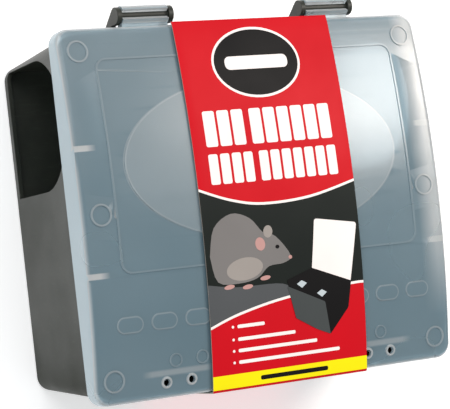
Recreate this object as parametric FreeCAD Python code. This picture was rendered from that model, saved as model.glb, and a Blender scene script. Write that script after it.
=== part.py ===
"""Lockable bait station: black tub, translucent hinged lid, two latches, bait on rods, key and card sleeve.

Millimetres, +Z up. The origin is the centre of the tub's base, on the surface it stands on.
The lid hinges along the back edge (+Y) and locks at the front (-Y); X runs from side to side.
"""

import FreeCAD, Part
import math
import os

V = FreeCAD.Vector
X_AXIS = V(1, 0, 0)
Y_AXIS = V(0, 1, 0)
Z_AXIS = V(0, 0, 1)

# Lid
LID_W = 240.0
LID_L = 214.0
LID_CORNER = 9.0
LID_WALL = 2.0
SKIRT_Z = 90.0
LID_END_Z = 100.0
CROWN = 10.0
LID_EDGE_R = 3.5
EMBOSS = 0.6
PAD_X = 108.0
PAD_Y = 93.5
PAD_R = 6.5

# Tub
TUB_GAP = 1.2
TUB_TOP_Z = 95.5
TUB_DRAFT_X = 2.4
TUB_DRAFT_Y = 4.8
TUB_WALL = 2.5
SOLE_R = 1.6
TUB_FLOOR = 2.5

# Entry holes and inner walls
HOLE_R = 38.5
HOLE_Y = 57.0
HOLE_SILL = 6.0
HOLE_SPRING_Z = 53.0
BAFFLE_Y = 14.0
BAFFLE_Z = 86.0
BAFFLE_GAP = 54.0
DIVIDER_END_Y = -22.0
DIVIDER_Z = 80.0

# Hinge
HINGE_Y = 114.0
HINGE_Z = 94.0
HINGE_X = 61.0
LOOP_W = 36.0
LOOP_LEG = 3.0
BAR_R = 2.4
TONGUE_IN_R = 2.75
TONGUE_OUT_R = 5.6

# Locks
LOCK_X = 67.5
PIN_PITCH = 16.0
PIN_R = 1.9
PIN_HOLE_R = 2.1
PIN_Y = -98.0
POST_Y = -97.4
POST_T = 3.0
POST_FOOT_Z = 64.0
LOCK_RIB_HALF = 20.0
SHELF_Z = 69.0
LATCH_T = 4.0
FIT = 0.3

# Bait
ROD_X = 57.0
ROD_Y = -40.0
ROD_R = 2.5
SOCKET_H = 12.0
BLOCK = 30.0
BLOCK_H = 24.0
BLOCK_HOLE_R = 3.6

# Key store, sleeve and floor fixings
KEY_X = 30.0
KEY_Y = -84.0
SLEEVE_X0 = -46.8
SLEEVE_X1 = 57.5
CARD_T = 0.8
CARD_LIFT = 1.1
CARD_FRONT_GAP = 0.6
SCREW_X = 75.0
SCREW_Y = 75.0
SCREW_R = 2.25

HALF_W = LID_W / 2
HALF_L = LID_L / 2
TUB_HALF_W = HALF_W - LID_WALL - TUB_GAP
TUB_HALF_L = HALF_L - LID_WALL - TUB_GAP
CROWN_R = (HALF_L ** 2 + CROWN ** 2) / (2 * CROWN)
CROWN_Z = LID_END_Z + CROWN


def box(x0, x1, y0, y1, z0, z1):
    """A box between two corners."""
    return Part.makeBox(x1 - x0, y1 - y0, z1 - z0, V(x0, y0, z0))


def rod(x, y, z0, z1, radius):
    """An upright cylinder."""
    return Part.makeCylinder(radius, z1 - z0, V(x, y, z0), Z_AXIS)


def rounded_rect(half_x, half_y, radius, z):
    """A closed wire: a rectangle about the Z axis with rounded corners."""
    d = radius * (1 - math.sqrt(0.5))
    edges = []
    corners = [(1, 1), (-1, 1), (-1, -1), (1, -1)]
    ends = []
    for sx, sy in corners:
        side = V(sx * half_x, sy * (half_y - radius), z)
        end = V(sx * (half_x - radius), sy * half_y, z)
        mid = V(sx * (half_x - d), sy * (half_y - d), z)
        first, last = (side, end) if sx * sy > 0 else (end, side)
        ends.append((first, mid, last))
    for i, (first, mid, last) in enumerate(ends):
        edges.append(Part.Arc(first, mid, last).toShape())
        edges.append(Part.LineSegment(last, ends[(i + 1) % 4][0]).toShape())
    return Part.Wire(edges)


def prism(points, vector):
    """A solid swept straight from a closed outline of points."""
    return Part.Face(Part.makePolygon(points + [points[0]])).extrude(vector)


def side_profile(points, x0, x1):
    """A solid with a constant outline of (y, z) points between two x positions."""
    return prism([V(x0, y, z) for y, z in points], V(x1 - x0, 0, 0))


def front_profile(points, y0, y1):
    """A solid with a constant outline of (x, z) points between two y positions."""
    return prism([V(x, y0, z) for x, z in points], V(0, y1 - y0, 0))


def crown_z(y, offset=0.0):
    """Height of the arched lid face at a distance y from the middle."""
    radius = CROWN_R + offset
    return CROWN_Z - CROWN_R + math.sqrt(radius ** 2 - y ** 2)


def crowned_prism(half_x, half_y, corner, z0, offset):
    """A rounded block whose top follows the lid's arch, shifted by offset."""
    base = Part.Face(rounded_rect(half_x, half_y, corner, z0)).extrude(V(0, 0, 90))
    reach = half_y + 5
    left, right = V(-150, -reach, z0 - 1), V(-150, reach, z0 - 1)
    a = V(-150, -reach, crown_z(reach, offset))
    b = V(-150, 0, crown_z(0, offset))
    c = V(-150, reach, crown_z(reach, offset))
    outline = [
        Part.LineSegment(right, left).toShape(),
        Part.LineSegment(left, a).toShape(),
        Part.Arc(a, b, c).toShape(),
        Part.LineSegment(c, right).toShape(),
    ]
    arch = Part.Face(Part.Wire(outline)).extrude(V(300, 0, 0))
    return base.common(arch)


def top_edges(solid, z_min):
    """The edges round the top of a crowned block."""
    found = []
    for edge in solid.Edges:
        box_e = edge.BoundBox
        upright = box_e.ZLength > 5 and box_e.XLength < 0.1 and box_e.YLength < 0.1
        if box_e.ZMin > z_min and not upright:
            found.append(edge)
    return found


def on_crown(shape):
    """The slice of an upright shape that stands proud of the lid face by the emboss height."""
    half_x, half_y = HALF_W - 1, HALF_L - 1
    outer = crowned_prism(half_x, half_y, LID_CORNER, SKIRT_Z, EMBOSS)
    inner = crowned_prism(half_x, half_y, LID_CORNER, SKIRT_Z, -LID_WALL / 2)
    return shape.common(outer.cut(inner))


def ring(x, y, r_in, r_out, z0, z1):
    """An upright tube."""
    return rod(x, y, z0, z1, r_out).cut(rod(x, y, z0 - 1, z1 + 1, r_in))


def slot_bar(x, y, length, width, z0, z1):
    """An upright bar along X with round ends."""
    half = (length - width) / 2
    body = box(x - half, x + half, y - width / 2, y + width / 2, z0, z1)
    return body.fuse([rod(x - half, y, z0, z1, width / 2), rod(x + half, y, z0, z1, width / 2)])


# ---------------------------------------------------------------- tub

def tub_inside():
    """The drafted hollow of the tub, a little taller than its rim."""
    t = TUB_WALL
    low_w, low_l = TUB_HALF_W - TUB_DRAFT_X - t, TUB_HALF_L - TUB_DRAFT_Y - t
    high_w, high_l = TUB_HALF_W - t, TUB_HALF_L - t
    return Part.makeLoft([rounded_rect(low_w, low_l, LID_CORNER - t, TUB_FLOOR),
                          rounded_rect(high_w, high_l, LID_CORNER - t, TUB_TOP_Z + 1)], True, True)


def inside_tub(shape):
    """Trim a piece so that it meets the tub's inner faces."""
    return shape.common(tub_inside())


def tub_shell():
    """The drafted box with its floor."""
    low_w, low_l = TUB_HALF_W - TUB_DRAFT_X, TUB_HALF_L - TUB_DRAFT_Y
    outer = Part.makeLoft([rounded_rect(low_w, low_l, LID_CORNER, 0),
                           rounded_rect(TUB_HALF_W, TUB_HALF_L, LID_CORNER, TUB_TOP_Z)], True, True)
    sole = [edge for edge in outer.Edges if edge.BoundBox.ZMax < 0.01]
    return outer.makeFillet(SOLE_R, sole).cut(tub_inside())


def entry_cutter():
    """The arched passage through both side walls."""
    y0, y1 = HOLE_Y - HOLE_R, HOLE_Y + HOLE_R
    lower = box(-130, 130, y0, y1, HOLE_SILL, HOLE_SPRING_Z)
    arch = Part.makeCylinder(HOLE_R, 260, V(-130, HOLE_Y, HOLE_SPRING_Z), X_AXIS)
    return lower.fuse(arch)


def wall_y(z):
    """Outer face of the tub's back wall at a height; the front wall is its mirror image."""
    return TUB_HALF_L - TUB_DRAFT_Y * (1 - z / TUB_TOP_Z)


def make_baffle():
    """The slot-in wall that makes the tunnel, with its central gap."""
    half = TUB_WALL / 2
    wall = box(-TUB_HALF_W, TUB_HALF_W, BAFFLE_Y - half, BAFFLE_Y + half, TUB_FLOOR, BAFFLE_Z)
    gap = box(-BAFFLE_GAP / 2, BAFFLE_GAP / 2, BAFFLE_Y - 5, BAFFLE_Y + 5, TUB_FLOOR + 5, BAFFLE_Z + 1)
    return inside_tub(wall.cut(gap))


def make_divider():
    """The slot-in wall between the two bait compartments."""
    half = TUB_WALL / 2
    return inside_tub(box(-half, half, -TUB_HALF_L, DIVIDER_END_Y, TUB_FLOOR, DIVIDER_Z))


def hinge_loop(x):
    """One moulded loop: two gusseted legs and the bar the lid turns on."""
    wall = wall_y(HINGE_Z) - 1.7
    shoulder = SKIRT_Z - 1.6
    inner = HALF_L + 1.9
    outline = [(wall, HINGE_Z - 24), (wall, shoulder), (inner, shoulder), (inner, HINGE_Z),
               (HINGE_Y + 5.0, HINGE_Z), (HINGE_Y + 4.4, HINGE_Z - 2.6)]
    pieces = [Part.makeCylinder(BAR_R, LOOP_W - 1, V(x - LOOP_W / 2 + 0.5, HINGE_Y, HINGE_Z), X_AXIS)]
    for x0 in (x - LOOP_W / 2, x + LOOP_W / 2 - LOOP_LEG):
        pieces.append(side_profile(outline, x0, x0 + LOOP_LEG))
        pieces.append(Part.makeCylinder(5.0, LOOP_LEG, V(x0, HINGE_Y, HINGE_Z), X_AXIS))
    return pieces


def make_latch_guide(x):
    """The snap-in guide on the front wall that a latch slides in: shelf, rails, lips and stop."""
    rail_in, rail_out = 14.1, 16.1
    front = -TUB_HALF_L
    back = POST_Y + 27.4
    shelf = box(x - rail_out, x + rail_out, front, back, SHELF_Z - 3, SHELF_Z)
    opening = box(x - 6.6, x + 6.6, POST_Y - 2.2, POST_Y + 6.6, SHELF_Z - 4, SHELF_Z + 1)
    stop = box(x - rail_out, x + rail_out, back - 2, back, SHELF_Z - 3, SHELF_Z + LATCH_T)
    pieces = [shelf.cut(opening), stop]
    lip_z = SHELF_Z + LATCH_T + 2 * FIT
    for side in (-1, 1):
        rail = sorted((x + side * rail_in, x + side * rail_out))
        lip = sorted((x + side * (rail_in - 2.0), x + side * rail_out))
        pieces.append(box(rail[0], rail[1], front, back, SHELF_Z - 1, lip_z + 2))
        pieces.append(box(lip[0], lip[1], front, back - 2, lip_z, lip_z + 2))
        web = [(front, SHELF_Z - 26), (front, SHELF_Z - 2), (back - 4, SHELF_Z - 2)]
        pieces.append(side_profile(web, rail[0], rail[1]))
    return inside_tub(pieces[0].fuse(pieces[1:]).removeSplitter())


def rod_socket(x):
    """The floor boss that a bait rod is pushed into."""
    boss = rod(x, ROD_Y, 1, SOCKET_H, 7.0)
    ribs = [box(x - 12, x + 12, ROD_Y - 1, ROD_Y + 1, 1, 6), box(x - 1, x + 1, ROD_Y - 12, ROD_Y + 12, 1, 6)]
    return [boss] + ribs


def key_socket_bosses():
    """Two floor bosses that store the key's pins."""
    return [rod(KEY_X + s * PIN_PITCH / 2, KEY_Y, 1, 14, 4.2) for s in (-1, 1)]


def make_tub():
    """The black moulded tub with everything that is one piece with it."""
    tub = tub_shell().cut(entry_cutter())
    added = []
    for side in (-1, 1):
        added += hinge_loop(side * HINGE_X)
        added += rod_socket(side * ROD_X)
    added += key_socket_bosses()
    tub = tub.fuse(added).removeSplitter()
    cutters = []
    for side in (-1, 1):
        cutters.append(rod(side * ROD_X, ROD_Y, 4, SOCKET_H + 1, ROD_R + 0.05))
        cutters.append(rod(KEY_X + side * PIN_PITCH / 2, KEY_Y, 3.5, 15, PIN_R + 0.3))
        for end in (-1, 1):
            cutters.append(rod(side * SCREW_X, end * SCREW_Y, -1, 5, SCREW_R))
    return tub.cut(cutters)


# ---------------------------------------------------------------- lid

def lid_shell():
    """The arched cover with its deep skirt."""
    outer = crowned_prism(HALF_W, HALF_L, LID_CORNER, SKIRT_Z, 0)
    outer = outer.makeFillet(LID_EDGE_R, top_edges(outer, SKIRT_Z + 5))
    w = LID_WALL
    inner = crowned_prism(HALF_W - w, HALF_L - w, LID_CORNER - w, SKIRT_Z - 1, -w)
    inner = inner.makeFillet(LID_EDGE_R - 1.5, top_edges(inner, SKIRT_Z + 5))
    return outer.cut(inner)


def under_lid(shape):
    """The part of an upright shape that lies inside the lid's walls."""
    w = LID_WALL / 2
    return shape.common(crowned_prism(HALF_W - w, HALF_L - w, LID_CORNER - w, 40, -w))


def lid_emblem():
    """A plain raised ellipse on the face."""
    ellipse = Part.Ellipse(V(0, 0, 0), 90.0, 48.0).toShape()
    solid = Part.Face(Part.Wire(ellipse)).extrude(V(0, 0, 60))
    solid.translate(V(0, 26, SKIRT_Z))
    return solid


def lid_frame_line():
    """The fine raised border of the large panel."""
    x, y0, y1, line = 99.0, -34.5, 89.0, 1.2
    centre = V(0, (y0 + y1) / 2, 0)
    half_y = (y1 - y0) / 2
    outer = Part.Face(rounded_rect(x, half_y, 7, SKIRT_Z)).extrude(V(0, 0, 60))
    inner = Part.Face(rounded_rect(x - line, half_y - line, 6, SKIRT_Z - 1)).extrude(V(0, 0, 70))
    frame = outer.cut(inner)
    frame.translate(centre)
    return frame


def lid_marks():
    """Round pads near the edges and a row of plain lozenges along the front."""
    z0, z1 = SKIRT_Z, SKIRT_Z + 40
    marks = [lid_emblem(), lid_frame_line()]
    for x in (-1, 1):
        for y in (-1, 0, 1):
            marks.append(ring(x * PAD_X, y * PAD_Y, PAD_R - 1.2, PAD_R, z0, z1))
        for pin in (-1, 1):
            marks.append(ring(x * LOCK_X + pin * PIN_PITCH / 2, PIN_Y, PIN_HOLE_R, 3.3, z0, z1))
        for near in (52.0, 69.0):
            marks.append(ring(x * near, -86.0, 3.2, 4.0, z0, z1))
    lozenges = 10
    for i in range(lozenges):
        marks.append(slot_bar(-96.3 + 21.4 * i, -63.0, 16.0, 9.0, z0, z1))
    return [on_crown(mark) for mark in marks]


def lid_ribs():
    """Gussets, stop pads and stiffening ribs under the face."""
    ribs = []
    low = TUB_TOP_Z + 1.5
    for x in (-1, 1):
        for y in (-34.0, 38.0):
            outline = [(x * (HALF_W - 1), low), (x * (HALF_W - 1), 118), (x * 103, 118), (x * 103, 108)]
            ribs.append(front_profile(outline, y - 1.6, y + 1.6))
        for y in (-PAD_Y, 0.0, PAD_Y):
            ribs.append(ring(x * PAD_X, y, PAD_R - 1.2, PAD_R, low, 118))
        inner, outer = sorted((x * (LOCK_X - LOCK_RIB_HALF), x * (LOCK_X + LOCK_RIB_HALF)))
        ribs.append(box(inner, outer, POST_Y + 4.2, POST_Y + 5.6, TUB_TOP_Z - 2, 118))
    return [under_lid(rib) for rib in ribs]


def latch_post(x):
    """The windowed post under the lid that a latch's nose enters."""
    post = box(x - 5.2, x + 5.2, POST_Y, POST_Y + POST_T, POST_FOOT_Z, 118)
    window = box(x - 3.9, x + 3.9, POST_Y - 1, POST_Y + POST_T + 1, POST_FOOT_Z + 3.6, POST_FOOT_Z + 12)
    return under_lid(post).cut(window)


def hinge_tongue(x):
    """The open hook at the lid's back edge that clips over a tub bar."""
    half = LOOP_W / 2 - LOOP_LEG - 0.5
    start, length = V(x - half, HINGE_Y, HINGE_Z), 2 * half
    hook = Part.makeCylinder(TONGUE_OUT_R, length, start, X_AXIS)
    web = box(x - half, x + half, HALF_L - 1, HINGE_Y - TONGUE_IN_R - 1.5, SKIRT_Z, HINGE_Z + 2)
    bore = Part.makeCylinder(TONGUE_IN_R, length + 2, start - X_AXIS, X_AXIS)
    mouth = side_profile([(HINGE_Y, HINGE_Z), (HINGE_Y - 4.2, HINGE_Z + 7), (HINGE_Y + 4.2, HINGE_Z + 7)],
                         x - half - 1, x + half + 1)
    return hook.fuse(web).cut(bore).cut(mouth)


def make_lid():
    """The translucent lid."""
    added = lid_marks() + lid_ribs()
    for side in (-1, 1):
        added += [hinge_tongue(side * HINGE_X), latch_post(side * LOCK_X)]
    lid = lid_shell().fuse(added).removeSplitter()
    holes = []
    for side in (-1, 1):
        for pin in (-1, 1):
            holes.append(rod(side * LOCK_X + pin * PIN_PITCH / 2, PIN_Y, 92, 118, PIN_HOLE_R))
    return lid.cut(holes)


# ---------------------------------------------------------------- loose pieces

def make_latch(x):
    """A sliding latch: body, two ramped arms for the key's pins and the nose between them."""
    z0, z1 = SHELF_Z + FIT, SHELF_Z + FIT + LATCH_T
    tip = POST_Y + POST_T + 2.5
    body = box(x - 13.7, x + 13.7, tip + 3.9, tip + 17.3, z0, z1)
    nose = side_profile([(tip + 4.8, z0), (tip + 4.8, z1), (tip + 1.3, z1), (tip, z1 - 1.5), (tip, z0)],
                        x - 3.4, x + 3.4)
    parts = [nose]
    for side in (-1, 1):
        xc = x + side * PIN_PITCH / 2
        ramp = [(tip - 1.3, z0), (tip - 1.3, z1 - 1), (tip + 4.8, z1 + 6),
                (tip + 9.3, z1 + 6), (tip + 9.3, z0)]
        parts.append(side_profile(ramp, xc - 2.5, xc + 2.5))
    return body.fuse(parts).removeSplitter()


def make_bait_rod(x):
    """A steel rod with a seating collar and a rounded tip."""
    top = 88.0
    shaft = rod(x, ROD_Y, 4.2, top, ROD_R)
    tip = Part.makeSphere(ROD_R, V(x, ROD_Y, top))
    collar = rod(x, ROD_Y, SOCKET_H + 0.1, SOCKET_H + 2, 6.0)
    return shaft.fuse([tip, collar]).removeSplitter()


def make_block(x, z0):
    """A bait block: a grooved square bar with a hole for the rod."""
    half = BLOCK / 2
    block = box(x - half, x + half, ROD_Y - half, ROD_Y + half, z0, z0 + BLOCK_H)
    upright = [e for e in block.Edges if e.BoundBox.ZLength > BLOCK_H - 1]
    block = block.makeFillet(2.5, upright)
    grooves = []
    for offset in (-7.5, 0.0, 7.5):
        for side in (-1, 1):
            grooves.append(rod(x + offset, ROD_Y + side * (half + 0.8), z0 - 1, z0 + BLOCK_H + 1, 2.0))
            grooves.append(rod(x + side * (half + 0.8), ROD_Y + offset, z0 - 1, z0 + BLOCK_H + 1, 2.0))
    hole = rod(x, ROD_Y, z0 - 1, z0 + BLOCK_H + 1, BLOCK_HOLE_R)
    return block.cut(grooves + [hole])


def make_key():
    """The two-pin key, stored upright in its sockets."""
    half = PIN_PITCH / 2
    z_grip = 30.0
    pins = [rod(KEY_X + s * half, KEY_Y, 4.0, z_grip + 1, PIN_R) for s in (-1, 1)]
    grip = box(KEY_X - 15, KEY_X + 15, KEY_Y - 2.2, KEY_Y + 2.2, z_grip, z_grip + 24)
    corners = [e for e in grip.Edges if e.BoundBox.YLength > 4]
    grip = grip.makeFillet(4.0, corners)
    eye = Part.makeCylinder(4.5, 10, V(KEY_X, KEY_Y - 5, z_grip + 14), Y_AXIS)
    return grip.cut(eye).fuse(pins).removeSplitter()


def make_sleeve():
    """The card sleeve: arched top panel, long front panel and a short lip behind."""
    lift, gap, t = CARD_LIFT, CARD_FRONT_GAP, CARD_T
    y_in = HALF_L + gap
    y_out = y_in + t
    x0, width = SLEEVE_X0, SLEEVE_X1 - SLEEVE_X0

    def panel(half_y, offset, z_low):
        a = V(x0, -half_y, crown_z(half_y, offset))
        b = V(x0, 0, crown_z(0, offset))
        c = V(x0, half_y, crown_z(half_y, offset))
        low_front, low_back = V(x0, -half_y, z_low), V(x0, half_y, z_low)
        wire = Part.Wire([Part.Arc(a, b, c).toShape(), Part.LineSegment(c, low_back).toShape(),
                          Part.LineSegment(low_back, low_front).toShape(),
                          Part.LineSegment(low_front, a).toShape()])
        return Part.Face(wire).extrude(V(width, 0, 0))

    sleeve = panel(y_out, lift + t, 4.0).cut(panel(y_in, lift, 3.0))
    lip_x = HINGE_X - LOOP_W / 2 - 2.0
    back_low = box(x0 - 1, SLEEVE_X1 + 1, 50, y_out + 1, 0, SKIRT_Z + 1.5)
    back_right = box(lip_x, SLEEVE_X1 + 1, y_in - 0.01, y_out + 1, 0, LID_END_Z - 0.5)
    back_left = box(x0 - 1, -lip_x, y_in - 0.01, y_out + 1, 0, LID_END_Z - 0.5)
    return sleeve.cut([back_low, back_right, back_left])


def build():
    """Every piece by node name."""
    pieces = {"base_tub": make_tub(), "lid": make_lid(), "opening_key": make_key(),
              "card_sleeve": make_sleeve(), "tunnel_baffle": make_baffle(),
              "compartment_divider": make_divider()}
    for name, side in (("left", -1), ("right", 1)):
        pieces["lock_latch_" + name] = make_latch(side * LOCK_X)
        pieces["latch_guide_" + name] = make_latch_guide(side * LOCK_X)
        pieces["bait_rod_" + name] = make_bait_rod(side * ROD_X)
        lower = SOCKET_H + 2.3
        pieces["bait_block_" + name + "_lower"] = make_block(side * ROD_X, lower)
        pieces["bait_block_" + name + "_upper"] = make_block(side * ROD_X, lower + BLOCK_H)
    return pieces


def export(pieces):
    """Write one STEP file per node."""
    os.makedirs("parts", exist_ok=True)
    for name, shape in pieces.items():
        print(name, shape.isValid(), len(shape.Solids), round(shape.Volume / 1000, 1), "cm3")
        shape.exportStep("parts/" + name + ".step")


export(build())
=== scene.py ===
import logging
import math
from dataclasses import dataclass, field
from enum import Enum
from typing import Callable, Iterable, Optional, Sequence

import bmesh
import bpy
from mathutils import Matrix, Vector


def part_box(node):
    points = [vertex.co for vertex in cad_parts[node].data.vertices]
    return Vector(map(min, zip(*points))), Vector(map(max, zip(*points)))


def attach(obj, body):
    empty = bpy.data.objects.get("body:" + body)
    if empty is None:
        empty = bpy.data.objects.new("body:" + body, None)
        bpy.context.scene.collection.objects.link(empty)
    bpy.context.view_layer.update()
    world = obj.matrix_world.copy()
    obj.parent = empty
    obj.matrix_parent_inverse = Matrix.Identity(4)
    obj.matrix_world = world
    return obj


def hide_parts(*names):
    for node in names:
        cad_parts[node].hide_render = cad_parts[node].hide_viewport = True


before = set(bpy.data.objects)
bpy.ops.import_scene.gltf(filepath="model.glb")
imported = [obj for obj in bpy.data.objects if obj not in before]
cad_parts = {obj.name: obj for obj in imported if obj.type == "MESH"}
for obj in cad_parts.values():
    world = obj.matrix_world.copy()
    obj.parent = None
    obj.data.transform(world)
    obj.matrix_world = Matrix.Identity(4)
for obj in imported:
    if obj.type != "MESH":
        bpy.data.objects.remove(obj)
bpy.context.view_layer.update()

LOG = logging.getLogger("bait_station")
MM = 0.001

Point = tuple[float, float]
Shade = tuple[float, float, float]


class Slot(Enum):
    """The record's material slots."""

    BLACK = "black_plastic"
    CLEAR = "clear_plastic"
    STEEL = "steel"
    BAIT = "bait"
    CARD = "card"


class Side(Enum):
    """The two mirrored halves of the box."""

    LEFT = "left"
    RIGHT = "right"


def linear(red: int, green: int, blue: int) -> Shade:
    """Turn a display colour into the linear values that shaders use.

    Args:
        red: Red from 0 to 255.
        green: Green from 0 to 255.
        blue: Blue from 0 to 255.

    Returns:
        The three linear values, from 0 to 1.
    """
    def one(level: int) -> float:
        share = level / 255
        return share / 12.92 if share <= 0.04045 else ((share + 0.055) / 1.055) ** 2.4
    return one(red), one(green), one(blue)


# ---------------------------------------------------------------- shader trees

class Tree:
    """Adds shader nodes to one node tree and joins them."""

    def __init__(self, tree: bpy.types.NodeTree) -> None:
        """Keep the tree that nodes are added to."""
        self.tree = tree

    def add(self, kind: str, inputs: Optional[dict] = None, **settings) -> bpy.types.Node:
        """Add one node.

        Args:
            kind: The node's type name without its ShaderNode prefix.
            inputs: Plain values or output sockets by input name or index.
            settings: Attributes of the node itself.

        Returns:
            The new node.
        """
        node = self.tree.nodes.new("ShaderNode" + kind)
        for name, value in settings.items():
            setattr(node, name, value)
        for key, value in (inputs or {}).items():
            self.feed(node.inputs[key], value)
        return node

    def feed(self, socket: bpy.types.NodeSocket, value: object) -> None:
        """Join an output to a socket, or set the socket's own value."""
        if isinstance(value, bpy.types.NodeSocket):
            self.tree.links.new(value, socket)
        else:
            socket.default_value = value

    def maths(self, operation: str, first: object, second: object) -> bpy.types.NodeSocket:
        """Return the result of a Math node on two values, held between 0 and 1."""
        node = self.add("Math", {0: first, 1: second}, operation=operation, use_clamp=True)
        return node.outputs[0]

    def spread(self, value: object, low: float, high: float,
               to_low: float = 0.0, to_high: float = 1.0) -> bpy.types.NodeSocket:
        """Return a value moved from one range to another."""
        node = self.add("MapRange", {0: value, 1: low, 2: high, 3: to_low, 4: to_high})
        return node.outputs[0]

    def blend(self, share: object, first: object, second: object) -> bpy.types.NodeSocket:
        """Return the colour between two colours."""
        node = self.add("Mix", {0: share}, data_type="RGBA")
        self.feed(node.inputs[6], first)
        self.feed(node.inputs[7], second)
        return node.outputs[2]


class Effect:
    """A shader node group that more than one finish uses."""

    def __init__(self, name: str, inputs: dict[str, float], outputs: Sequence[str],
                 fill: Callable[[Tree, bpy.types.Node], dict]) -> None:
        """Build the group.

        Args:
            name: The group's name.
            inputs: Value inputs and their usual values; a Place vector is added first.
            outputs: Names of the value outputs.
            fill: Makes the nodes inside and returns an output socket for each name.
        """
        self.group = bpy.data.node_groups.new(name, "ShaderNodeTree")
        face = self.group.interface
        face.new_socket(name="Place", in_out="INPUT", socket_type="NodeSocketVector")
        for label, usual in inputs.items():
            socket = face.new_socket(name=label, in_out="INPUT", socket_type="NodeSocketFloat")
            socket.default_value = usual
        for label in outputs:
            face.new_socket(name=label, in_out="OUTPUT", socket_type="NodeSocketFloat")
        tree = Tree(self.group)
        entry = self.group.nodes.new("NodeGroupInput")
        made = fill(tree, entry)
        leave = self.group.nodes.new("NodeGroupOutput")
        for label, socket in made.items():
            self.group.links.new(socket, leave.inputs[label])

    def use(self, tree: Tree, place: bpy.types.NodeSocket, **values: float) -> bpy.types.Node:
        """Place the group in a material with its own values."""
        node = tree.tree.nodes.new("ShaderNodeGroup")
        node.node_tree = self.group
        tree.feed(node.inputs["Place"], place)
        for label, value in values.items():
            node.inputs[label].default_value = value
        return node


def fill_grain(tree: Tree, entry: bpy.types.Node) -> dict:
    """Make the spark-eroded texture of a moulding and its slow cloudiness."""
    fine = tree.add("TexNoise", {"Vector": entry.outputs["Place"], "Scale": entry.outputs["Scale"],
                                 "Detail": 3.0, "Roughness": 0.6})
    cloud = tree.add("TexNoise", {"Vector": entry.outputs["Place"], "Scale": entry.outputs["Cloud Scale"],
                                  "Detail": 2.0, "Roughness": 0.5})
    return {"Height": fine.outputs[0], "Cloud": tree.spread(cloud.outputs[0], 0.3, 0.7)}


def fill_rubs(tree: Tree, entry: bpy.types.Node) -> dict:
    """Make faint stretched handling marks."""
    turned = tree.add("Mapping", {"Vector": entry.outputs["Place"], "Rotation": (0.0, 0.0, 0.5),
                                  "Scale": (1.0, 9.0, 3.0)})
    marks = tree.add("TexNoise", {"Vector": turned.outputs[0], "Scale": entry.outputs["Scale"],
                                  "Detail": 4.0, "Roughness": 0.7})
    return {"Mask": tree.spread(marks.outputs[0], 0.56, 0.72)}


def fill_dust(tree: Tree, entry: bpy.types.Node) -> dict:
    """Make a thin dust film that lies on faces that point up."""
    normal = tree.add("NewGeometry").outputs["Normal"]
    height = tree.add("SeparateXYZ", {0: normal}).outputs[2]
    up = tree.spread(height, 0.2, 0.9)
    specks = tree.add("TexNoise", {"Vector": entry.outputs["Place"], "Scale": entry.outputs["Scale"],
                                   "Detail": 5.0, "Roughness": 0.65})
    film = tree.maths("MULTIPLY", up, tree.spread(specks.outputs[0], 0.35, 0.75))
    return {"Mask": tree.maths("MULTIPLY", film, entry.outputs["Amount"])}


class Effects:
    """The shared effects, built once."""

    def __init__(self) -> None:
        """Build the three groups."""
        self.grain = Effect("moulded_grain", {"Scale": 1500.0, "Cloud Scale": 22.0},
                            ["Height", "Cloud"], fill_grain)
        self.rubs = Effect("handling_rubs", {"Scale": 40.0}, ["Mask"], fill_rubs)
        self.dust = Effect("dust_film", {"Scale": 60.0, "Amount": 0.3}, ["Mask"], fill_dust)


EFFECTS = Effects()


def start_material(name: str) -> tuple[bpy.types.Material, Tree, bpy.types.Node, bpy.types.NodeSocket]:
    """Begin a material.

    Args:
        name: The material's name.

    Returns:
        The material, its tree, its Principled BSDF and the Object coordinates.
    """
    material = bpy.data.materials.new(name)
    material.use_nodes = True
    tree = Tree(material.node_tree)
    shader = material.node_tree.nodes["Principled BSDF"]
    place = tree.add("TexCoord").outputs["Object"]
    return material, tree, shader, place


@dataclass(frozen=True)
class BlackMoulding:
    """Black polypropylene with a fine spark-eroded texture, and a painted sheen: reflection that fades
    toward the front as painted shade.
    """

    name: str = "black_moulding"
    colour: Shade = linear(35, 38, 31)
    worn: Shade = linear(46, 50, 42)
    gloss_low: float = 0.36
    gloss_high: float = 0.52
    grain_size: float = 1500.0
    grain_depth: float = 0.00006
    dust_film: float = 0.06
    dust_tone: Shade = linear(120, 118, 108)
    # Painted sheen: reflection strength at the front and further back, and where the change runs.
    painted_sheen_low: float = 0.08
    painted_sheen_high: float = 0.45
    painted_sheen_start: float = -95 * MM
    painted_sheen_end: float = -30 * MM

    def material(self) -> bpy.types.Material:
        """Return the material."""
        material, tree, shader, place = start_material(self.name)
        grain = EFFECTS.grain.use(tree, place, Scale=self.grain_size)
        rubs = EFFECTS.rubs.use(tree, place, Scale=55.0)
        dust = EFFECTS.dust.use(tree, place, Amount=self.dust_film)
        base = tree.blend(rubs.outputs["Mask"], (*self.colour, 1.0), (*self.worn, 1.0))
        base = tree.blend(dust.outputs["Mask"], base, (*self.dust_tone, 1.0))
        tree.feed(shader.inputs["Base Color"], base)
        tree.feed(shader.inputs["Roughness"],
                  tree.spread(grain.outputs["Cloud"], 0.0, 1.0, self.gloss_low, self.gloss_high))
        bump = tree.add("Bump", {"Strength": 0.5, "Distance": self.grain_depth,
                                 "Height": grain.outputs["Height"]})
        tree.feed(shader.inputs["Normal"], bump.outputs[0])
        # Painted sheen: the reflection strength is set by position front to back, so the front looks
        # shaded.
        depth = tree.add("SeparateXYZ", {0: place}).outputs[1]
        tree.feed(shader.inputs["Specular IOR Level"],
                  tree.spread(depth, self.painted_sheen_start, self.painted_sheen_end, self.painted_sheen_low, self.painted_sheen_high))
        return material


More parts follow.
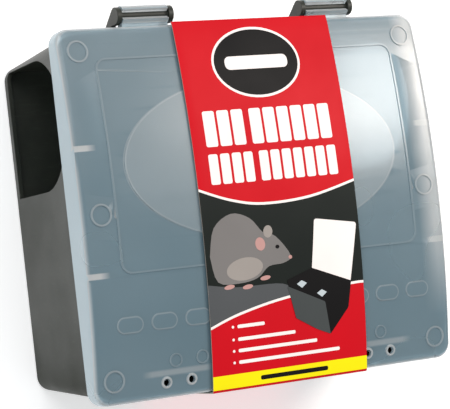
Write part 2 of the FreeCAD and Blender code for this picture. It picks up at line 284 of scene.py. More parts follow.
@dataclass(frozen=True)
class MilkyMoulding:
    """Natural polypropylene: bluish where the wall is thin, white where it is thick or seen on edge."""

    name: str = "milky_moulding"
    thin: Shade = linear(136, 165, 178)
    cloudy: Shade = linear(150, 176, 188)
    # White of dense plastic, also used for painted light and painted highlights.
    thick: Shade = linear(246, 248, 248)
    transmission: float = 0.58
    gloss_low: float = 0.22
    gloss_high: float = 0.3
    grain_depth: float = 0.00004
    walls: bool = False
    wall_density: float = 0.3
    # Painted light: how much paler the face gets toward the back.
    painted_back_light_level: float = 0.14
    # Painted light: how white the right-hand edge toward the front turns.
    painted_edge_light: float = 0.8
    index: float = 1.46
    gusset_rows: Point = (-34 * MM, 38 * MM)
    rib_row: float = -92.5 * MM
    pad: Point = (108 * MM, 93.5 * MM)
    pin: Point = (67.5 * MM, -98 * MM)
    pin_half_pitch: float = 8 * MM

    def ring(self, tree: Tree, across: bpy.types.NodeSocket, along: bpy.types.NodeSocket,
             radius: float, half: float) -> bpy.types.NodeSocket:
        """Return a mask of a circle's line, from the distances across and along from its centre."""
        squares = [tree.add("Math", {0: part, 1: part}, operation="MULTIPLY").outputs[0]
                   for part in (across, along)]
        total = tree.add("Math", {0: squares[0], 1: squares[1]}, operation="ADD").outputs[0]
        reach = tree.add("Math", {0: total, 1: 0.5}, operation="POWER").outputs[0]
        return self.band(tree, reach, radius, half, 0.4 * MM)

    def painted_line_highlights(self, tree: Tree, x: bpy.types.NodeSocket, y: bpy.types.NodeSocket,
                 width: bpy.types.NodeSocket) -> bpy.types.NodeSocket:
        """Return a mask of painted highlights along the walls of the edge pads and the rings round the
        key's pin holes.
        """
        across = tree.add("Math", {0: width, 1: self.pad[0]}, operation="SUBTRACT").outputs[0]
        along = tree.add("Math", {0: y, 1: self.pad[1] / 2, 2: -self.pad[1] / 2},
                         operation="WRAP").outputs[0]
        pads = self.ring(tree, across, along, 5.9 * MM, 0.3 * MM)
        offset = tree.add("Math", {0: width, 1: self.pin[0]}, operation="SUBTRACT").outputs[0]
        distance = tree.add("Math", {0: offset}, operation="ABSOLUTE").outputs[0]
        across = tree.add("Math", {0: distance, 1: self.pin_half_pitch}, operation="SUBTRACT").outputs[0]
        along = tree.add("Math", {0: y, 1: self.pin[1]}, operation="SUBTRACT").outputs[0]
        pins = self.ring(tree, across, along, 2.8 * MM, 0.5 * MM)
        # Painted highlights along the raised walls.
        total = tree.maths("ADD", tree.maths("MULTIPLY", pads, 0.4), tree.maths("MULTIPLY", pins, 0.8))
        return tree.maths("ADD", total, self.painted_raised_highlights(tree, x, y, width))

    def painted_raised_highlights(self, tree: Tree, x: bpy.types.NodeSocket, y: bpy.types.NodeSocket,
                     width: bpy.types.NodeSocket) -> bpy.types.NodeSocket:
        """Return a mask of painted highlights along the panel's border, the lozenges' edges and the small
        rings.
        """
        border = self.pill(tree, x, y, (0.0, 27.25 * MM), (92 * MM, 54.75 * MM), 6.4 * MM, 0.3 * MM)
        pitch, first = 21.4 * MM, -96.3 * MM
        along_row = tree.add("Math", {0: x, 1: first + pitch / 2, 2: first - pitch / 2},
                             operation="WRAP").outputs[0]
        lozenges = self.pill(tree, along_row, y, (first, -63 * MM), (3.5 * MM, 0.0), 4.4 * MM, 0.25 * MM)
        lozenges = tree.maths("MULTIPLY", lozenges, tree.spread(width, 105 * MM, 106 * MM, 1.0, 0.0))
        offset = tree.add("Math", {0: width, 1: 60.5 * MM}, operation="SUBTRACT").outputs[0]
        distance = tree.add("Math", {0: offset}, operation="ABSOLUTE").outputs[0]
        rings = self.pill(tree, distance, y, (8.5 * MM, -86 * MM), (0.0, 0.0), 3.6 * MM, 0.2 * MM)
        total = tree.maths("MULTIPLY", border, 0.13)
        for part, strength in ((lozenges, 0.3), (rings, 0.16)):
            total = tree.maths("ADD", total, tree.maths("MULTIPLY", part, strength))
        return total

    def pill(self, tree: Tree, x: bpy.types.NodeSocket, y: bpy.types.NodeSocket, centre: Point,
             flat: Point, radius: float, half: float) -> bpy.types.NodeSocket:
        """Return a mask of the edge line of a rounded shape.

        Args:
            tree: The material's tree.
            x: The X coordinate.
            y: The Y coordinate.
            centre: The shape's middle.
            flat: Half the lengths of its straight sides.
            radius: The radius of its corners, up to the line.
            half: Half the line's width.

        Returns:
            The mask.
        """
        parts = []
        for value, middle, straight in zip((x, y), centre, flat):
            offset = tree.add("Math", {0: value, 1: middle}, operation="SUBTRACT").outputs[0]
            distance = tree.add("Math", {0: offset}, operation="ABSOLUTE").outputs[0]
            past = tree.add("Math", {0: distance, 1: straight}, operation="SUBTRACT").outputs[0]
            parts.append(tree.add("Math", {0: past, 1: 0.0}, operation="MAXIMUM").outputs[0])
        return self.ring(tree, parts[0], parts[1], radius, half)

    def band(self, tree: Tree, along: bpy.types.NodeSocket, centre: float, half: float,
             soft: float) -> bpy.types.NodeSocket:
        """Return a mask of a soft-edged stretch along one coordinate.

        Args:
            tree: The material's tree.
            along: The coordinate in metres.
            centre: Middle of the stretch in metres.
            half: Half its length in metres.
            soft: Width of its soft edge in metres.

        Returns:
            The mask.
        """
        offset = tree.add("Math", {0: along, 1: centre}, operation="SUBTRACT").outputs[0]
        distance = tree.add("Math", {0: offset}, operation="ABSOLUTE").outputs[0]
        return tree.spread(distance, half, half + soft, 1.0, 0.0)

    def emblem(self, tree: Tree, x: bpy.types.NodeSocket, y: bpy.types.NodeSocket
               ) -> bpy.types.NodeSocket:
        """Return a mask of the raised ellipse: frosted on its face, with a painted highlight along its
        wall.
        """
        across = tree.add("Math", {0: x, 1: 90 * MM}, operation="DIVIDE").outputs[0]
        shifted = tree.add("Math", {0: y, 1: 26 * MM}, operation="SUBTRACT").outputs[0]
        along = tree.add("Math", {0: shifted, 1: 48 * MM}, operation="DIVIDE").outputs[0]
        x_part = tree.add("Math", {0: across, 1: 2.0}, operation="POWER").outputs[0]
        y_part = tree.add("Math", {0: along, 1: 2.0}, operation="POWER").outputs[0]
        total = tree.add("Math", {0: x_part, 1: y_part}, operation="ADD").outputs[0]
        face = tree.maths("MULTIPLY", tree.spread(total, 0.985, 1.0, 1.0, 0.0), 0.2)
        # Painted highlight along the ellipse's wall.
        wall = tree.maths("MULTIPLY", self.band(tree, total, 1.0, 0.012, 0.012), 0.3)
        return tree.maths("ADD", face, wall)

    def thickness(self, tree: Tree, place: bpy.types.NodeSocket) -> bpy.types.NodeSocket:
        """Return how dense the plastic looks at its sides, gussets, ribs and emblem, with painted
        highlights along raised lines, painted light on the right edge and a painted paler stretch toward
        the back.
        """
        parts = tree.add("SeparateXYZ", {0: place})
        x, y = parts.outputs[0], parts.outputs[1]
        normal = tree.add("NewGeometry").outputs["Normal"]
        upward = tree.add("SeparateXYZ", {0: normal}).outputs[2]
        steep = tree.add("Math", {0: upward}, operation="ABSOLUTE").outputs[0]
        sides = tree.spread(steep, 0.55, 0.93, 0.86, 0.0)
        width = tree.add("Math", {0: x}, operation="ABSOLUTE").outputs[0]
        outer = tree.spread(width, 106 * MM, 112 * MM)
        gussets = tree.maths("ADD", *(self.band(tree, y, row, 1.4 * MM, 0.5 * MM)
                                      for row in self.gusset_rows))
        gussets = tree.maths("MULTIPLY", gussets, outer)
        ribs = tree.maths("MULTIPLY", self.band(tree, y, self.rib_row, 0.9 * MM, 1.4 * MM),
                          self.band(tree, width, self.pin[0], 17 * MM, 6 * MM))
        ribs = tree.maths("MULTIPLY", ribs, 0.38)
        total = tree.maths("ADD", sides, gussets)
        # Painted light: the right-hand edge toward the front is whitened as if light enters it there.
        painted_right_edge_light = tree.maths("MULTIPLY", tree.spread(x, 102 * MM, 113 * MM, 0.0, self.painted_edge_light),
                          tree.spread(y, -80 * MM, -25 * MM))
        # Painted light: the face turns paler toward the back, standing in for the arch catching more light
        # there.
        painted_back_light = tree.spread(y, -10 * MM, 90 * MM, 0.0, self.painted_back_light_level)
        for part in (ribs, painted_right_edge_light, painted_back_light, self.emblem(tree, x, y), self.painted_line_highlights(tree, x, y, width)):
            total = tree.maths("ADD", total, part)
        return total

    def material(self) -> bpy.types.Material:
        """Return the material."""
        material, tree, shader, place = start_material(self.name)
        grain = EFFECTS.grain.use(tree, place, **{"Scale": 900.0, "Cloud Scale": 9.0})
        base = tree.blend(grain.outputs["Cloud"], (*self.thin, 1.0), (*self.cloudy, 1.0))
        # The whitening mixes real density with painted light and painted highlights.
        density_and_painted_light = self.wall_density if self.walls else self.thickness(tree, place)
        base = tree.blend(density_and_painted_light, base, (*self.thick, 1.0))
        tree.feed(shader.inputs["Base Color"], base)
        tree.feed(shader.inputs["Roughness"],
                  tree.spread(grain.outputs["Cloud"], 0.0, 1.0, self.gloss_low, self.gloss_high))
        shader.inputs["Transmission Weight"].default_value = self.transmission
        shader.inputs["IOR"].default_value = self.index
        bump = tree.add("Bump", {"Strength": 0.3, "Distance": self.grain_depth,
                                 "Height": grain.outputs["Height"]})
        tree.feed(shader.inputs["Normal"], bump.outputs[0])
        return material


@dataclass(frozen=True)
class PrintedCard:
    """Coated board, plain or with one printed ink."""

    name: str
    colour: Shade
    roughness: float = 0.5
    coat: float = 0.02
    deeper: float = 0.93
    roughness_spread: float = 0.08
    coat_roughness: float = 0.3
    specular: float = 0.16

    def material(self) -> bpy.types.Material:
        """Return the material."""
        material, tree, shader, place = start_material("card_" + self.name)
        grain = EFFECTS.grain.use(tree, place, **{"Scale": 1100.0, "Cloud Scale": 30.0})
        deeper = tuple(level * self.deeper for level in self.colour)
        base = tree.blend(grain.outputs["Cloud"], (*self.colour, 1.0), (*deeper, 1.0))
        tree.feed(shader.inputs["Base Color"], base)
        tree.feed(shader.inputs["Roughness"],
                  tree.spread(grain.outputs["Cloud"], 0.0, 1.0, self.roughness,
                              self.roughness + self.roughness_spread))
        shader.inputs["Coat Weight"].default_value = self.coat
        shader.inputs["Coat Roughness"].default_value = self.coat_roughness
        shader.inputs["Specular IOR Level"].default_value = self.specular
        bump = tree.add("Bump", {"Strength": 0.25, "Distance": 0.00003,
                                 "Height": grain.outputs["Height"]})
        tree.feed(shader.inputs["Normal"], bump.outputs[0])
        return material


@dataclass(frozen=True)
class BrushedSteel:
    """Drawn steel rod."""

    name: str = "drawn_steel"
    colour: Shade = linear(196, 197, 198)

    def material(self) -> bpy.types.Material:
        """Return the material."""
        material, tree, shader, place = start_material(self.name)
        drawn = tree.add("Mapping", {"Vector": place, "Scale": (1.0, 1.0, 0.05)})
        lines = tree.add("TexNoise", {"Vector": drawn.outputs[0], "Scale": 1800.0, "Detail": 3.0})
        rubs = EFFECTS.rubs.use(tree, place, Scale=80.0)
        shade = tree.blend(rubs.outputs["Mask"], (*self.colour, 1.0), (*linear(150, 148, 144), 1.0))
        tree.feed(shader.inputs["Base Color"], shade)
        tree.feed(shader.inputs["Roughness"], tree.spread(lines.outputs[0], 0.3, 0.7, 0.2, 0.42))
        shader.inputs["Metallic"].default_value = 1.0
        bump = tree.add("Bump", {"Strength": 0.2, "Distance": 0.00004, "Height": lines.outputs[0]})
        tree.feed(shader.inputs["Normal"], bump.outputs[0])
        return material


@dataclass(frozen=True)
class WaxBait:
    """Pressed grain bound in coloured wax."""

    name: str = "wax_bait"
    wax: Shade = linear(60, 128, 160)
    grain: Shade = linear(150, 168, 150)

    def material(self) -> bpy.types.Material:
        """Return the material."""
        material, tree, shader, place = start_material(self.name)
        cells = tree.add("TexVoronoi", {"Vector": place, "Scale": 420.0})
        dust = EFFECTS.dust.use(tree, place, Amount=0.35)
        kernels = tree.spread(cells.outputs["Distance"], 0.15, 0.45)
        base = tree.blend(kernels, (*self.grain, 1.0), (*self.wax, 1.0))
        base = tree.blend(dust.outputs["Mask"], base, (*linear(190, 205, 200), 1.0))
        tree.feed(shader.inputs["Base Color"], base)
        tree.feed(shader.inputs["Roughness"], tree.spread(kernels, 0.0, 1.0, 0.62, 0.4))
        shader.inputs["Subsurface Weight"].default_value = 0.15
        shader.inputs["Subsurface Scale"].default_value = 0.002
        bump = tree.add("Bump", {"Strength": 0.6, "Distance": 0.0004, "Height": cells.outputs["Distance"]})
        tree.feed(shader.inputs["Normal"], bump.outputs[0])
        return material


# ---------------------------------------------------------------- mesh helpers

def as_object(name: str, mesh: bmesh.types.BMesh, material: bpy.types.Material) -> bpy.types.Object:
    """Turn a bmesh into an object at the origin.

    Args:
        name: The piece's name.
        mesh: The shape, which is freed.
        material: The finish of the whole piece.

    Returns:
        The new object.
    """
    data = bpy.data.meshes.new(name)
    mesh.to_mesh(data)
    mesh.free()
    data.materials.append(material)
    piece = bpy.data.objects.new(name, data)
    bpy.context.scene.collection.objects.link(piece)
    return piece


def enrol(piece: bpy.types.Object, body: str, slot: Slot, *stands_for: str) -> bpy.types.Object:
    """Give a piece its body, hide the CAD nodes it stands for, and report it."""
    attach(piece, body)
    if stands_for:
        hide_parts(*stands_for)
    LOG.info("piece %s rides %s", piece.name, body)
    return piece


def soften(piece: bpy.types.Object, width: float, segments: int = 2, angle: float = 32.0) -> None:
    """Even out a piece's shading, and round its edges with a live bevel if it has a width.

    Args:
        piece: The piece.
        width: The width of the rounding in metres, or 0 for none.
        segments: Facets across the rounding.
        angle: Edges sharper than this, in degrees, are rounded or stay crisp.
    """
    piece.data.shade_smooth()
    piece.data.set_sharp_from_angle(angle=math.radians(angle))
    if width > 0:
        bevel = piece.modifiers.new("rounding", "BEVEL")
        bevel.width = width
        bevel.segments = segments
        bevel.limit_method = "ANGLE"
        bevel.angle_limit = math.radians(angle)
        bevel.use_clamp_overlap = False
    piece.modifiers.new("even_shading", "WEIGHTED_NORMAL").keep_sharp = True


def rounded_copy(node: str, name: str, material: bpy.types.Material, width: float,
                 join_flats: bool = True) -> bpy.types.Object:
    """Copy a CAD node as one closed mesh with softened edges.

    Args:
        node: The CAD node.
        name: The new piece's name.
        material: The finish.
        width: The width of the edge rounding in metres, or 0 for none.
        join_flats: Whether triangles that lie flat together become one face.

    Returns:
        The new piece.
    """
    mesh = bmesh.new()
    mesh.from_mesh(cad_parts[node].data)
    bmesh.ops.remove_doubles(mesh, verts=mesh.verts, dist=0.002 * MM)
    if join_flats:
        bmesh.ops.dissolve_limit(mesh, angle_limit=math.radians(0.4), verts=mesh.verts, edges=mesh.edges)
    piece = as_object(name, mesh, material)
    soften(piece, width)
    return piece


# ---------------------------------------------------------------- the box

@dataclass
class Mouldings:
    """Every piece that keeps its CAD shape."""

    tub_edge: float = 0.25 * MM
    small_edge: float = 0.2 * MM
    guide_edge: float = 0.15 * MM
    black: bpy.types.Material = field(default_factory=lambda: BlackMoulding().material())
    steel: bpy.types.Material = field(default_factory=lambda: BrushedSteel().material())
    bait: bpy.types.Material = field(default_factory=lambda: WaxBait().material())

    def build(self) -> None:
        """Build the tub, lid, inner walls, locks, bait and key."""
        self.one("base_tub", "tub_shell", "tub", self.black, Slot.BLACK, self.tub_edge)
        self.lid()
        self.one("tunnel_baffle", "tunnel_wall", "tub", self.black, Slot.BLACK, self.small_edge)
        self.one("compartment_divider", "divider_wall", "tub", self.black, Slot.BLACK, self.small_edge)
        self.one("opening_key", "two_pin_key", "key", self.black, Slot.BLACK, self.small_edge)
        for side in Side:
            self.build_side(side.value)

    def lid(self) -> None:
        """Build the lid, with a whiter finish on its walls, where the light runs along the plastic."""
        face = MilkyMoulding().material()
        wall = MilkyMoulding(name="milky_wall", transmission=0.3, walls=True).material()
        cover = rounded_copy("lid", "lid_cover", face, 0.0)
        cover.data.materials.append(wall)
        for flat in cover.data.polygons:
            flat.material_index = int(abs(flat.normal.z) < 0.45)
        enrol(cover, "lid", Slot.CLEAR, "lid")

    def build_side(self, side: str) -> None:
        """Build one side's lock and bait."""
        self.one("lock_latch_" + side, "latch_" + side, "latch_" + side,
                 self.black, Slot.BLACK, self.small_edge)
        guide = rounded_copy("latch_guide_" + side, "guide_" + side, self.black, self.guide_edge,
                             join_flats=False)
        enrol(guide, "tub", Slot.BLACK, "latch_guide_" + side)
        self.one("bait_rod_" + side, "rod_" + side, "tub",
                 self.steel, Slot.STEEL, self.small_edge)
        for level in ("lower", "upper"):
            self.one(f"bait_block_{side}_{level}", f"block_{side}_{level}", "bait_" + side,
                     self.bait, Slot.BAIT, self.small_edge)

    def one(self, node: str, name: str, body: str, material: bpy.types.Material,
            slot: Slot, width: float) -> None:
        """Build one rounded piece in place of its CAD node."""
        enrol(rounded_copy(node, name, material, width), body, slot, node)


# ---------------------------------------------------------------- the card sleeve

@dataclass
class CardShape:
    """The line that the card follows over the lid and down the front."""

    low: Vector = field(default_factory=lambda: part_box("card_sleeve")[0])
    high: Vector = field(default_factory=lambda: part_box("card_sleeve")[1])
    lid_end_z: float = 100.0 * MM
    lid_half: float = 107.0 * MM
    crown: float = 10.0 * MM
    thickness: float = 0.8 * MM

    @property
    def radius(self) -> float:
        """Radius of the lid's arch."""
        return (self.lid_half ** 2 + self.crown ** 2) / (2 * self.crown)

    @property
    def proud(self) -> float:
        """Height of the card's outer face above the lid's arch."""
        return self.high.z - (self.lid_end_z + self.crown)

    def top(self, y: float, lift: float = 0.0) -> float:
        """Return the height of the outer face at a distance y from the middle."""
        centre = self.lid_end_z + self.crown - self.radius
        return centre + math.sqrt((self.radius + self.proud + lift) ** 2 - y ** 2)

    @property
    def front(self) -> float:
        """The outer face's front Y."""
        return self.low.y

    @property
    def back(self) -> float:
        """The outer face's back Y."""
        return self.high.y


@dataclass
class CardSleeve:
    """The printed card that slips over the box."""

    shape: CardShape
    fold_radius: float = 1.3 * MM
    step: float = 4.0 * MM
    strips: int = 12
    fold_facets: int = 5
    lip_drop: float = 8.0 * MM
    lip_half: float = 41.0 * MM

    def path(self) -> list[Point]:
        """Return the card's outer line from the back lip to the front's lower edge.

        Returns:
            Points of Y and Z in metres, with both folds rounded.
        """
        shape, fold = self.shape, self.fold_radius
        back, front = shape.back, shape.front
        points = [(back, shape.top(back) - self.lip_drop)]
        points += self.bend(back - fold, shape.top(back) - fold, 0.0)
        count = round((back - front - 2 * fold) / self.step)
        for i in range(1, count):
            y = back - fold - (back - front - 2 * fold) * i / count
            points.append((y, shape.top(y)))
        points += self.bend(front + fold, shape.top(front) - fold, math.pi / 2)
        points += [(front, shape.low.z)]
        return points

    def bend(self, y: float, z: float, start: float) -> list[Point]:
        """Return the quarter circle of one fold."""
        facets = self.fold_facets
        angles = [start + math.pi / 2 * i / facets for i in range(facets + 1)]
        return [(y + self.fold_radius * math.cos(a), z + self.fold_radius * math.sin(a)) for a in angles]

    def build(self, outside: bpy.types.Material, inside: bpy.types.Material) -> None:
        """Build the folded sheet and give it its thickness.

        Args:
            outside: The printed face's finish.
            inside: The bare board's finish.
        """
        points = self.path()
        low, high = self.shape.low, self.shape.high
        mesh = bmesh.new()
        line = [mesh.verts.new((low.x, y, z)) for y, z in points]
        edges = [mesh.edges.new(pair) for pair in zip(line, line[1:])]
        for _ in range(self.strips):
            made = bmesh.ops.extrude_edge_only(mesh, edges=edges)["geom"]
            moved = [part for part in made if isinstance(part, bmesh.types.BMVert)]
            edges = [part for part in made if isinstance(part, bmesh.types.BMEdge)
                     and all(vert in moved for vert in part.verts)]
            bmesh.ops.translate(mesh, verts=moved, vec=((high.x - low.x) / self.strips, 0, 0))
        self.trim_lip(mesh)
        bmesh.ops.recalc_face_normals(mesh, faces=mesh.faces)
        top_face = max(mesh.faces, key=lambda face: face.calc_center_median().z)
        if top_face.normal.z < 0:
            bmesh.ops.reverse_faces(mesh, faces=mesh.faces)
        piece = as_object("sleeve_card", mesh, outside)
        piece.data.materials.append(inside)
        wall = piece.modifiers.new("card_thickness", "SOLIDIFY")
        wall.thickness = self.shape.thickness
        wall.offset = -1.0
        wall.material_offset = 1
        wall.material_offset_rim = 1
        piece.data.shade_smooth()
        piece.modifiers.new("even_shading", "WEIGHTED_NORMAL")
        enrol(piece, "sleeve", Slot.CARD, "card_sleeve")

    def trim_lip(self, mesh: bmesh.types.BMesh) -> None:
        """Keep the back lip only between the two hinge loops."""
        for side in (-1, 1):
            bmesh.ops.bisect_plane(mesh, geom=mesh.verts[:] + mesh.edges[:] + mesh.faces[:],
                                   plane_co=(side * self.lip_half, 0, 0), plane_no=(1, 0, 0))
        limit = self.shape.top(self.shape.back) - self.fold_radius
        gone = [face for face in mesh.faces
                if face.calc_center_median().y > self.shape.back - 0.1 * MM
                and face.calc_center_median().z < limit
                and abs(face.calc_center_median().x) > self.lip_half]
        bmesh.ops.delete(mesh, geom=gone, context="FACES")


@dataclass
class SleevePrint:
    """Ink laid on the card, each patch a thin sheet that follows the arch."""

    shape: CardShape
    layer: float = 0.05 * MM
    step: float = 4.0 * MM
    least_strip: float = 0.05 * MM
    inks: dict[str, bpy.types.Material] = field(default_factory=dict)

    def ink(self, name: str, colour: Shade) -> bpy.types.Material:
        """Return the ink of that name, made once."""
        if name not in self.inks:
            self.inks[name] = PrintedCard(name, colour).material()
        return self.inks[name]

    def drape(self, name: str, mesh: bmesh.types.BMesh, level: int, material: bpy.types.Material) -> None:
        """Lay a flat patch, drawn in millimetres, on the card's top.

        Args:
            name: The piece's name.
            mesh: The flat patch.
            level: Which layer of ink it is, from 1 up.
            material: Its ink.
        """
        bmesh.ops.scale(mesh, vec=(MM, MM, MM), verts=mesh.verts)
        low, high = self.shape.low, self.shape.high
        for place, normal in (((low.x, 0, 0), (-1, 0, 0)), ((high.x, 0, 0), (1, 0, 0))):
            bmesh.ops.bisect_plane(mesh, geom=mesh.verts[:] + mesh.edges[:] + mesh.faces[:],
                                   plane_co=place, plane_no=normal, clear_outer=True)
        ys = [vert.co.y for vert in mesh.verts]
        y = math.ceil((min(ys) + self.least_strip) / self.step) * self.step
        while y < max(ys) - self.least_strip:
            bmesh.ops.bisect_plane(mesh, geom=mesh.verts[:] + mesh.edges[:] + mesh.faces[:],
                                   plane_co=(0, y, 0), plane_no=(0, 1, 0))
            y += self.step
        bmesh.ops.recalc_face_normals(mesh, faces=mesh.faces)
        if mesh.faces and sum(face.normal.z * face.calc_area() for face in mesh.faces) < 0:
            bmesh.ops.reverse_faces(mesh, faces=mesh.faces)
        for vert in mesh.verts:
            vert.co.z = self.shape.top(vert.co.y, level * self.layer)
        piece = as_object(name, mesh, material)
        wall = piece.modifiers.new("ink_thickness", "SOLIDIFY")
        wall.thickness = self.layer * 0.8
        wall.offset = -1.0
        enrol(piece, "sleeve", Slot.CARD)

    def disc(self, centre: Point, half: Point, turn: float = 0.0, sides: int = 48) -> bmesh.types.BMesh:
        """Return a flat ellipse."""
        mesh = bmesh.new()
        bmesh.ops.create_circle(mesh, cap_ends=True, segments=sides, radius=1.0)
        bmesh.ops.scale(mesh, vec=(half[0], half[1], 1), verts=mesh.verts)
        bmesh.ops.rotate(mesh, cent=(0, 0, 0), matrix=Matrix.Rotation(turn, 3, "Z"), verts=mesh.verts)
        bmesh.ops.translate(mesh, vec=(centre[0], centre[1], 0), verts=mesh.verts)
        return mesh

    def bar(self, x0: float, x1: float, y0: float, y1: float, corner: float = 0.0) -> bmesh.types.BMesh:
        """Return a flat rectangle with rounded corners."""
        mesh = bmesh.new()
        bmesh.ops.create_grid(mesh, x_segments=1, y_segments=1, size=0.5)
        bmesh.ops.scale(mesh, vec=(x1 - x0, y1 - y0, 1), verts=mesh.verts)
        bmesh.ops.translate(mesh, vec=((x0 + x1) / 2, (y0 + y1) / 2, 0), verts=mesh.verts)
        if corner > 0:
            bmesh.ops.bevel(mesh, geom=mesh.verts[:], offset=corner, affect="VERTICES", segments=4,
                            profile=0.5, material=-1)
        return mesh

    def patch(self, outline: Iterable[Point], corner: float = 0.0) -> bmesh.types.BMesh:
        """Return a flat patch inside a closed outline, with its corners rounded if asked."""
        mesh = bmesh.new()
        mesh.faces.new([mesh.verts.new((x, y, 0)) for x, y in outline])
        if corner > 0:
            bmesh.ops.bevel(mesh, geom=mesh.verts[:], offset=corner, affect="VERTICES", segments=3,
                            profile=0.5, material=-1)
        return mesh

    def ribbon(self, points: Sequence[Point], width: float) -> bmesh.types.BMesh:
        """Return a flat band of even width along a smooth line through the given points."""
        line = self.smooth(points)
        half = width / 2
        outline = [(x, y + half) for x, y in line] + [(x, y - half) for x, y in reversed(line)]
        return self.patch(outline)

    @staticmethod
    def smooth(points: Sequence[Point], parts: int = 6) -> list[Point]:
        """Return points along a Catmull-Rom line through the given points."""
        padded = [points[0], *points, points[-1]]
        line = []
        for a, b, c, d in zip(padded, padded[1:], padded[2:], padded[3:]):
            for i in range(parts):
                t = i / parts
                line.append(tuple(
                    0.5 * (2 * q + (r - p) * t + (2 * p - 5 * q + 4 * r - s) * t ** 2
                           + (3 * q - p - 3 * r + s) * t ** 3)
                    for p, q, r, s in zip(a, b, c, d)))
        return line + [points[-1]]

    def build(self) -> None:
        """Print every patch from the bottom layer up."""
        self.picture()
        self.badge()
        self.title_rows()
        self.animal()
        self.open_box()
        self.list_bars()
        self.foot_band()

    def picture(self) -> None:
        """Print the dark picture panel and the curved white stripes beside it."""
        upper = [(-46.8, 8.6), (-27.2, 1.5), (-5.7, -2.3), (26.2, -0.6), (59.6, 7.2)]
        lower = [(-47.1, -71.1), (-27.3, -64.5), (4.5, -58.3), (48.2, -54.6), (61.0, -54.7)]
        outline = self.smooth(upper) + list(reversed(self.smooth(lower)))
        dark = self.ink("picture_dark", linear(22, 28, 25))
        floor_tone = self.ink("picture_floor", linear(84, 86, 88))
        self.drape("print_picture", self.patch(outline), 1, dark)
        ground = [(-47.0, -46.0), (-28.0, -49.0), (2.0, -50.0), (12.0, -57.5)]
        edge = list(reversed(self.smooth(lower[:3])))
        self.drape("print_picture_floor", self.patch(self.smooth(ground) + edge), 2, floor_tone)
        white = self.ink("white", linear(255, 246, 242))
        self.drape("print_stripe_upper", self.ribbon(upper, 1.5), 3, white)
        self.drape("print_stripe_lower", self.ribbon(lower, 1.5), 3, white)

    def badge(self) -> None:
        """Print the plain oval badge."""
        centre, half = (3.5, 81.5), (29.5, 21.4)
        white = self.ink("white", linear(255, 246, 242))
        black = self.ink("black", linear(10, 8, 9))
        self.drape("print_badge_rim", self.disc(centre, half), 1, white)
        self.drape("print_badge", self.disc(centre, (half[0] - 1.5, half[1] - 1.5)), 2, black)
        self.drape("print_badge_bar", self.bar(-17.5, 24.5, 77.5, 85.5, 3.2), 3, white)

    def title_rows(self) -> None:
        """Print two rows of plain upright blocks where a title stands."""
        white = self.ink("white", linear(255, 246, 242))
        rows = (("upper", 33.0, 54.0, -37.8, 46.8, (3, 6)), ("lower", 11.0, 28.7, -37.8, 47.5, (4, 7)))
        for name, y0, y1, x0, x1, groups in rows:
            count, gap, space = sum(groups), 1.6, 4.2
            width = (x1 - x0 - space - gap * (count - 2)) / count
            x = x0
            number = 0
            for group in groups:
                for _ in range(group):
                    number += 1
                    block = self.bar(x, x + width, y0, y1, 1.2)
                    self.drape(f"print_title_{name}_{number}", block, 1, white)
                    x += width + gap
                x += space - gap

    def animal(self) -> None:
        """Print a plain rodent outline on the picture."""
        fur = self.ink("fur", linear(126, 122, 120))
        light = self.ink("fur_light", linear(160, 152, 146))
        pink = self.ink("pink", linear(196, 150, 144))
        back = [(-44.0, -30.0), (-40.0, -14.0), (-28.0, -6.5), (-16.0, -10.0), (-8.0, -19.0),
                (0.0, -22.0), (9.0, -34.0), (4.0, -38.0), (-6.0, -39.0), (-14.0, -45.0),
                (-26.0, -47.0), (-40.0, -45.0), (-44.0, -30.0)]
        self.drape("print_animal", self.patch(self.smooth(back, 4)[:-1]), 3, fur)
        self.drape("print_animal_belly", self.disc((-22.0, -39.0), (12.0, 6.5), 0.1), 4, light)
        self.drape("print_animal_ear_far", self.disc((-4.8, -18.8), (3.0, 3.6), -0.2), 4, light)
        self.drape("print_animal_ear_near", self.disc((-10.6, -25.6), (3.2, 3.9), 0.2), 5, pink)
        self.drape("print_animal_eye", self.disc((0.6, -28.2), (1.3, 1.1)), 5,
                   self.ink("black", linear(10, 8, 9)))
        self.drape("print_animal_nose", self.disc((8.6, -35.0), (1.2, 1.1)), 5, pink)
        for i, (x, y) in enumerate(((-33.0, -48.5), (-21.0, -49.5), (-9.0, -45.5))):
            self.drape(f"print_animal_foot_{i}", self.disc((x, y), (3.4, 1.3), 0.1), 4, pink)

    def open_box(self) -> None:
        """Print a small picture of the box with its lid up."""
        white = self.ink("white", linear(255, 246, 242))
        black = self.ink("black", linear(10, 8, 9))
        grey = self.ink("grey", linear(70, 74, 74))
        pale = self.ink("pale_blue", linear(196, 206, 210))
        lid = [(27.0, -14.0), (55.7, -18.7), (48.0, -55.0), (22.4, -44.0)]
        box = [(5.2, -48.4), (22.5, -42.8), (48.8, -53.0), (45.8, -68.6), (32.7, -83.0),
               (23.6, -79.2), (9.7, -71.1)]
        front = [(5.2, -52.0), (30.0, -63.5), (32.7, -83.0), (23.6, -79.2), (9.7, -71.1)]
        self.drape("print_box_lid", self.patch(lid, 1.6), 5, white)
        self.drape("print_box_body", self.patch(box, 0.8), 6, black)
        self.drape("print_box_front", self.patch(front, 0.6), 7, grey)
        for i, (x, y) in enumerate(((14.9, -51.3), (28.1, -58.0))):
            square = [(x - 3.4, y), (x, y + 1.9), (x + 3.4, y), (x, y - 2.6)]
            self.drape(f"print_box_bait_{i}", self.patch(square, 0.3), 8, pale)

    def list_bars(self) -> None:
        """Print four plain bars with dots, where a list stands."""
        white = self.ink("white", linear(255, 246, 242))
        rows = ((-71.6, -11.5), (-79.0, 8.8), (-85.6, 23.3), (-92.3, 38.6))
        for i, (y, x1) in enumerate(rows):
            self.drape(f"print_list_dot_{i}", self.disc((-32.5, y), (0.8, 0.8), sides=16), 3, white)
            self.drape(f"print_list_bar_{i}", self.bar(-29.5, x1, y - 1.0, y + 1.0, 0.8), 3, white)

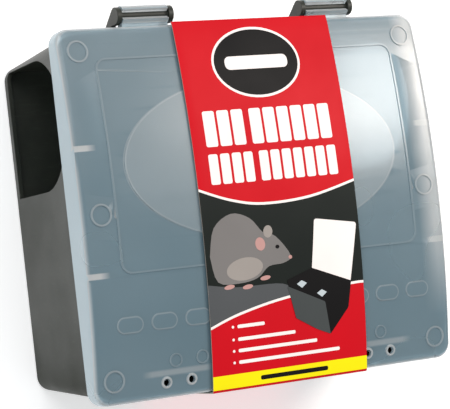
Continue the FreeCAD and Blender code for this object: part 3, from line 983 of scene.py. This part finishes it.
    def foot_band(self) -> None:
        """Print the yellow band along the front edge and its plain bar."""
        yellow = self.ink("yellow", linear(254, 238, 2))
        black = self.ink("black", linear(10, 8, 9))
        edge = self.shape.front / MM + 1.5
        self.drape("print_band", self.bar(-60.0, 70.0, edge, -98.9), 1, yellow)
        self.drape("print_band_bar", self.bar(-15.4, 30.2, -104.3, -101.7, 1.0), 2, black)


# ---------------------------------------------------------------- floor, light and camera

@dataclass
class Studio:
    """A pale floor, soft light and the camera."""

    eye: Vector = field(default_factory=lambda: Vector((-518.94, -36.71, 1049.34)) * MM)
    right: Vector = field(default_factory=lambda: Vector((0.882972, -0.113765, 0.455431)))
    down: Vector = field(default_factory=lambda: Vector((-0.085375, -0.992927, -0.082507)))
    ahead: Vector = field(default_factory=lambda: Vector((0.461596, 0.033969, -0.886440)))
    lens: float = 146.7
    floor_size: float = 8.0
    floor_gap: float = 0.2 * MM
    floor_glow: float = 0.36
    room_strength: float = 0.5

    def build(self) -> None:
        """Build everything around the object."""
        self.floor()
        self.world()
        self.lights()
        self.camera()
        bpy.context.scene.view_settings.view_transform = "Standard"

    def floor(self) -> None:
        """Lay the floor under the box."""
        material, tree, shader, place = start_material("pale_floor")
        grain = EFFECTS.grain.use(tree, place, **{"Scale": 400.0, "Cloud Scale": 3.0})
        shade = tree.blend(grain.outputs["Cloud"], (0.93, 0.93, 0.93, 1.0), (0.95, 0.95, 0.95, 1.0))
        tree.feed(shader.inputs["Base Color"], shade)
        shader.inputs["Roughness"].default_value = 0.9
        shader.inputs["Emission Color"].default_value = (1.0, 1.0, 1.0, 1.0)
        shader.inputs["Emission Strength"].default_value = self.floor_glow
        mesh = bmesh.new()
        bmesh.ops.create_grid(mesh, x_segments=2, y_segments=2, size=self.floor_size / 2)
        bmesh.ops.translate(mesh, vec=(0, 0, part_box("base_tub")[0].z - self.floor_gap), verts=mesh.verts)
        floor = as_object("studio_floor", mesh, material)

    def world(self) -> None:
        """Light everything softly from all round."""
        world = bpy.data.worlds.new("soft_room")
        bpy.context.scene.world = world
        world.use_nodes = True
        background = world.node_tree.nodes["Background"]
        background.inputs[0].default_value = (0.95, 0.98, 1.0, 1.0)
        background.inputs[1].default_value = self.room_strength

    def lights(self) -> None:
        """Hang the soft boxes."""
        self.soft_box("key_light", (-0.5, 1.0, 1.5), 1.4, 13.0)
        self.soft_box("fill_light", (-1.4, -0.7, 0.7), 1.2, 7.0)
        self.soft_box("glare_light", (0.65, 0.31, 0.97), 0.3, 5.8, (1.0, 0.92, 0.85))

    def soft_box(self, name: str, place: tuple[float, float, float], size: float, power: float,
                 colour: Shade = (1.0, 1.0, 1.0)) -> None:
        """Hang one square light that points at the box.

        Args:
            name: The light's name.
            place: Its position in metres.
            size: The length of its side in metres.
            power: Its power in watts.
            colour: Its linear colour.
        """
        light = bpy.data.lights.new(name, "AREA")
        light.energy = power
        light.size = size
        light.color = colour
        holder = bpy.data.objects.new(name, light)
        aim = Vector((0, 0, 0.08)) - Vector(place)
        holder.matrix_world = Matrix.Translation(place) @ aim.to_track_quat("-Z", "Y").to_matrix().to_4x4()
        bpy.context.scene.collection.objects.link(holder)

    def camera(self) -> None:
        """Set the camera."""
        camera = bpy.data.cameras.new("view")
        camera.lens = self.lens
        camera.sensor_width = 36.0
        camera.clip_start = 0.01
        holder = bpy.data.objects.new("view", camera)
        turn = Matrix((self.right, -self.down, -self.ahead)).transposed()
        holder.matrix_world = Matrix.Translation(self.eye) @ turn.to_4x4()
        bpy.context.scene.collection.objects.link(holder)
        bpy.context.scene.camera = holder


def main() -> None:
    """Build the whole bait station and its studio."""
    logging.basicConfig(level=logging.INFO)
    Mouldings().build()
    shape = CardShape()
    red = PrintedCard("red", linear(208, 0, 22)).material()
    board = PrintedCard("board", linear(176, 172, 164), roughness=0.8, coat=0.0).material()
    CardSleeve(shape).build(red, board)
    SleevePrint(shape).build()
    Studio().build()


if __name__ == "__main__":
    main()
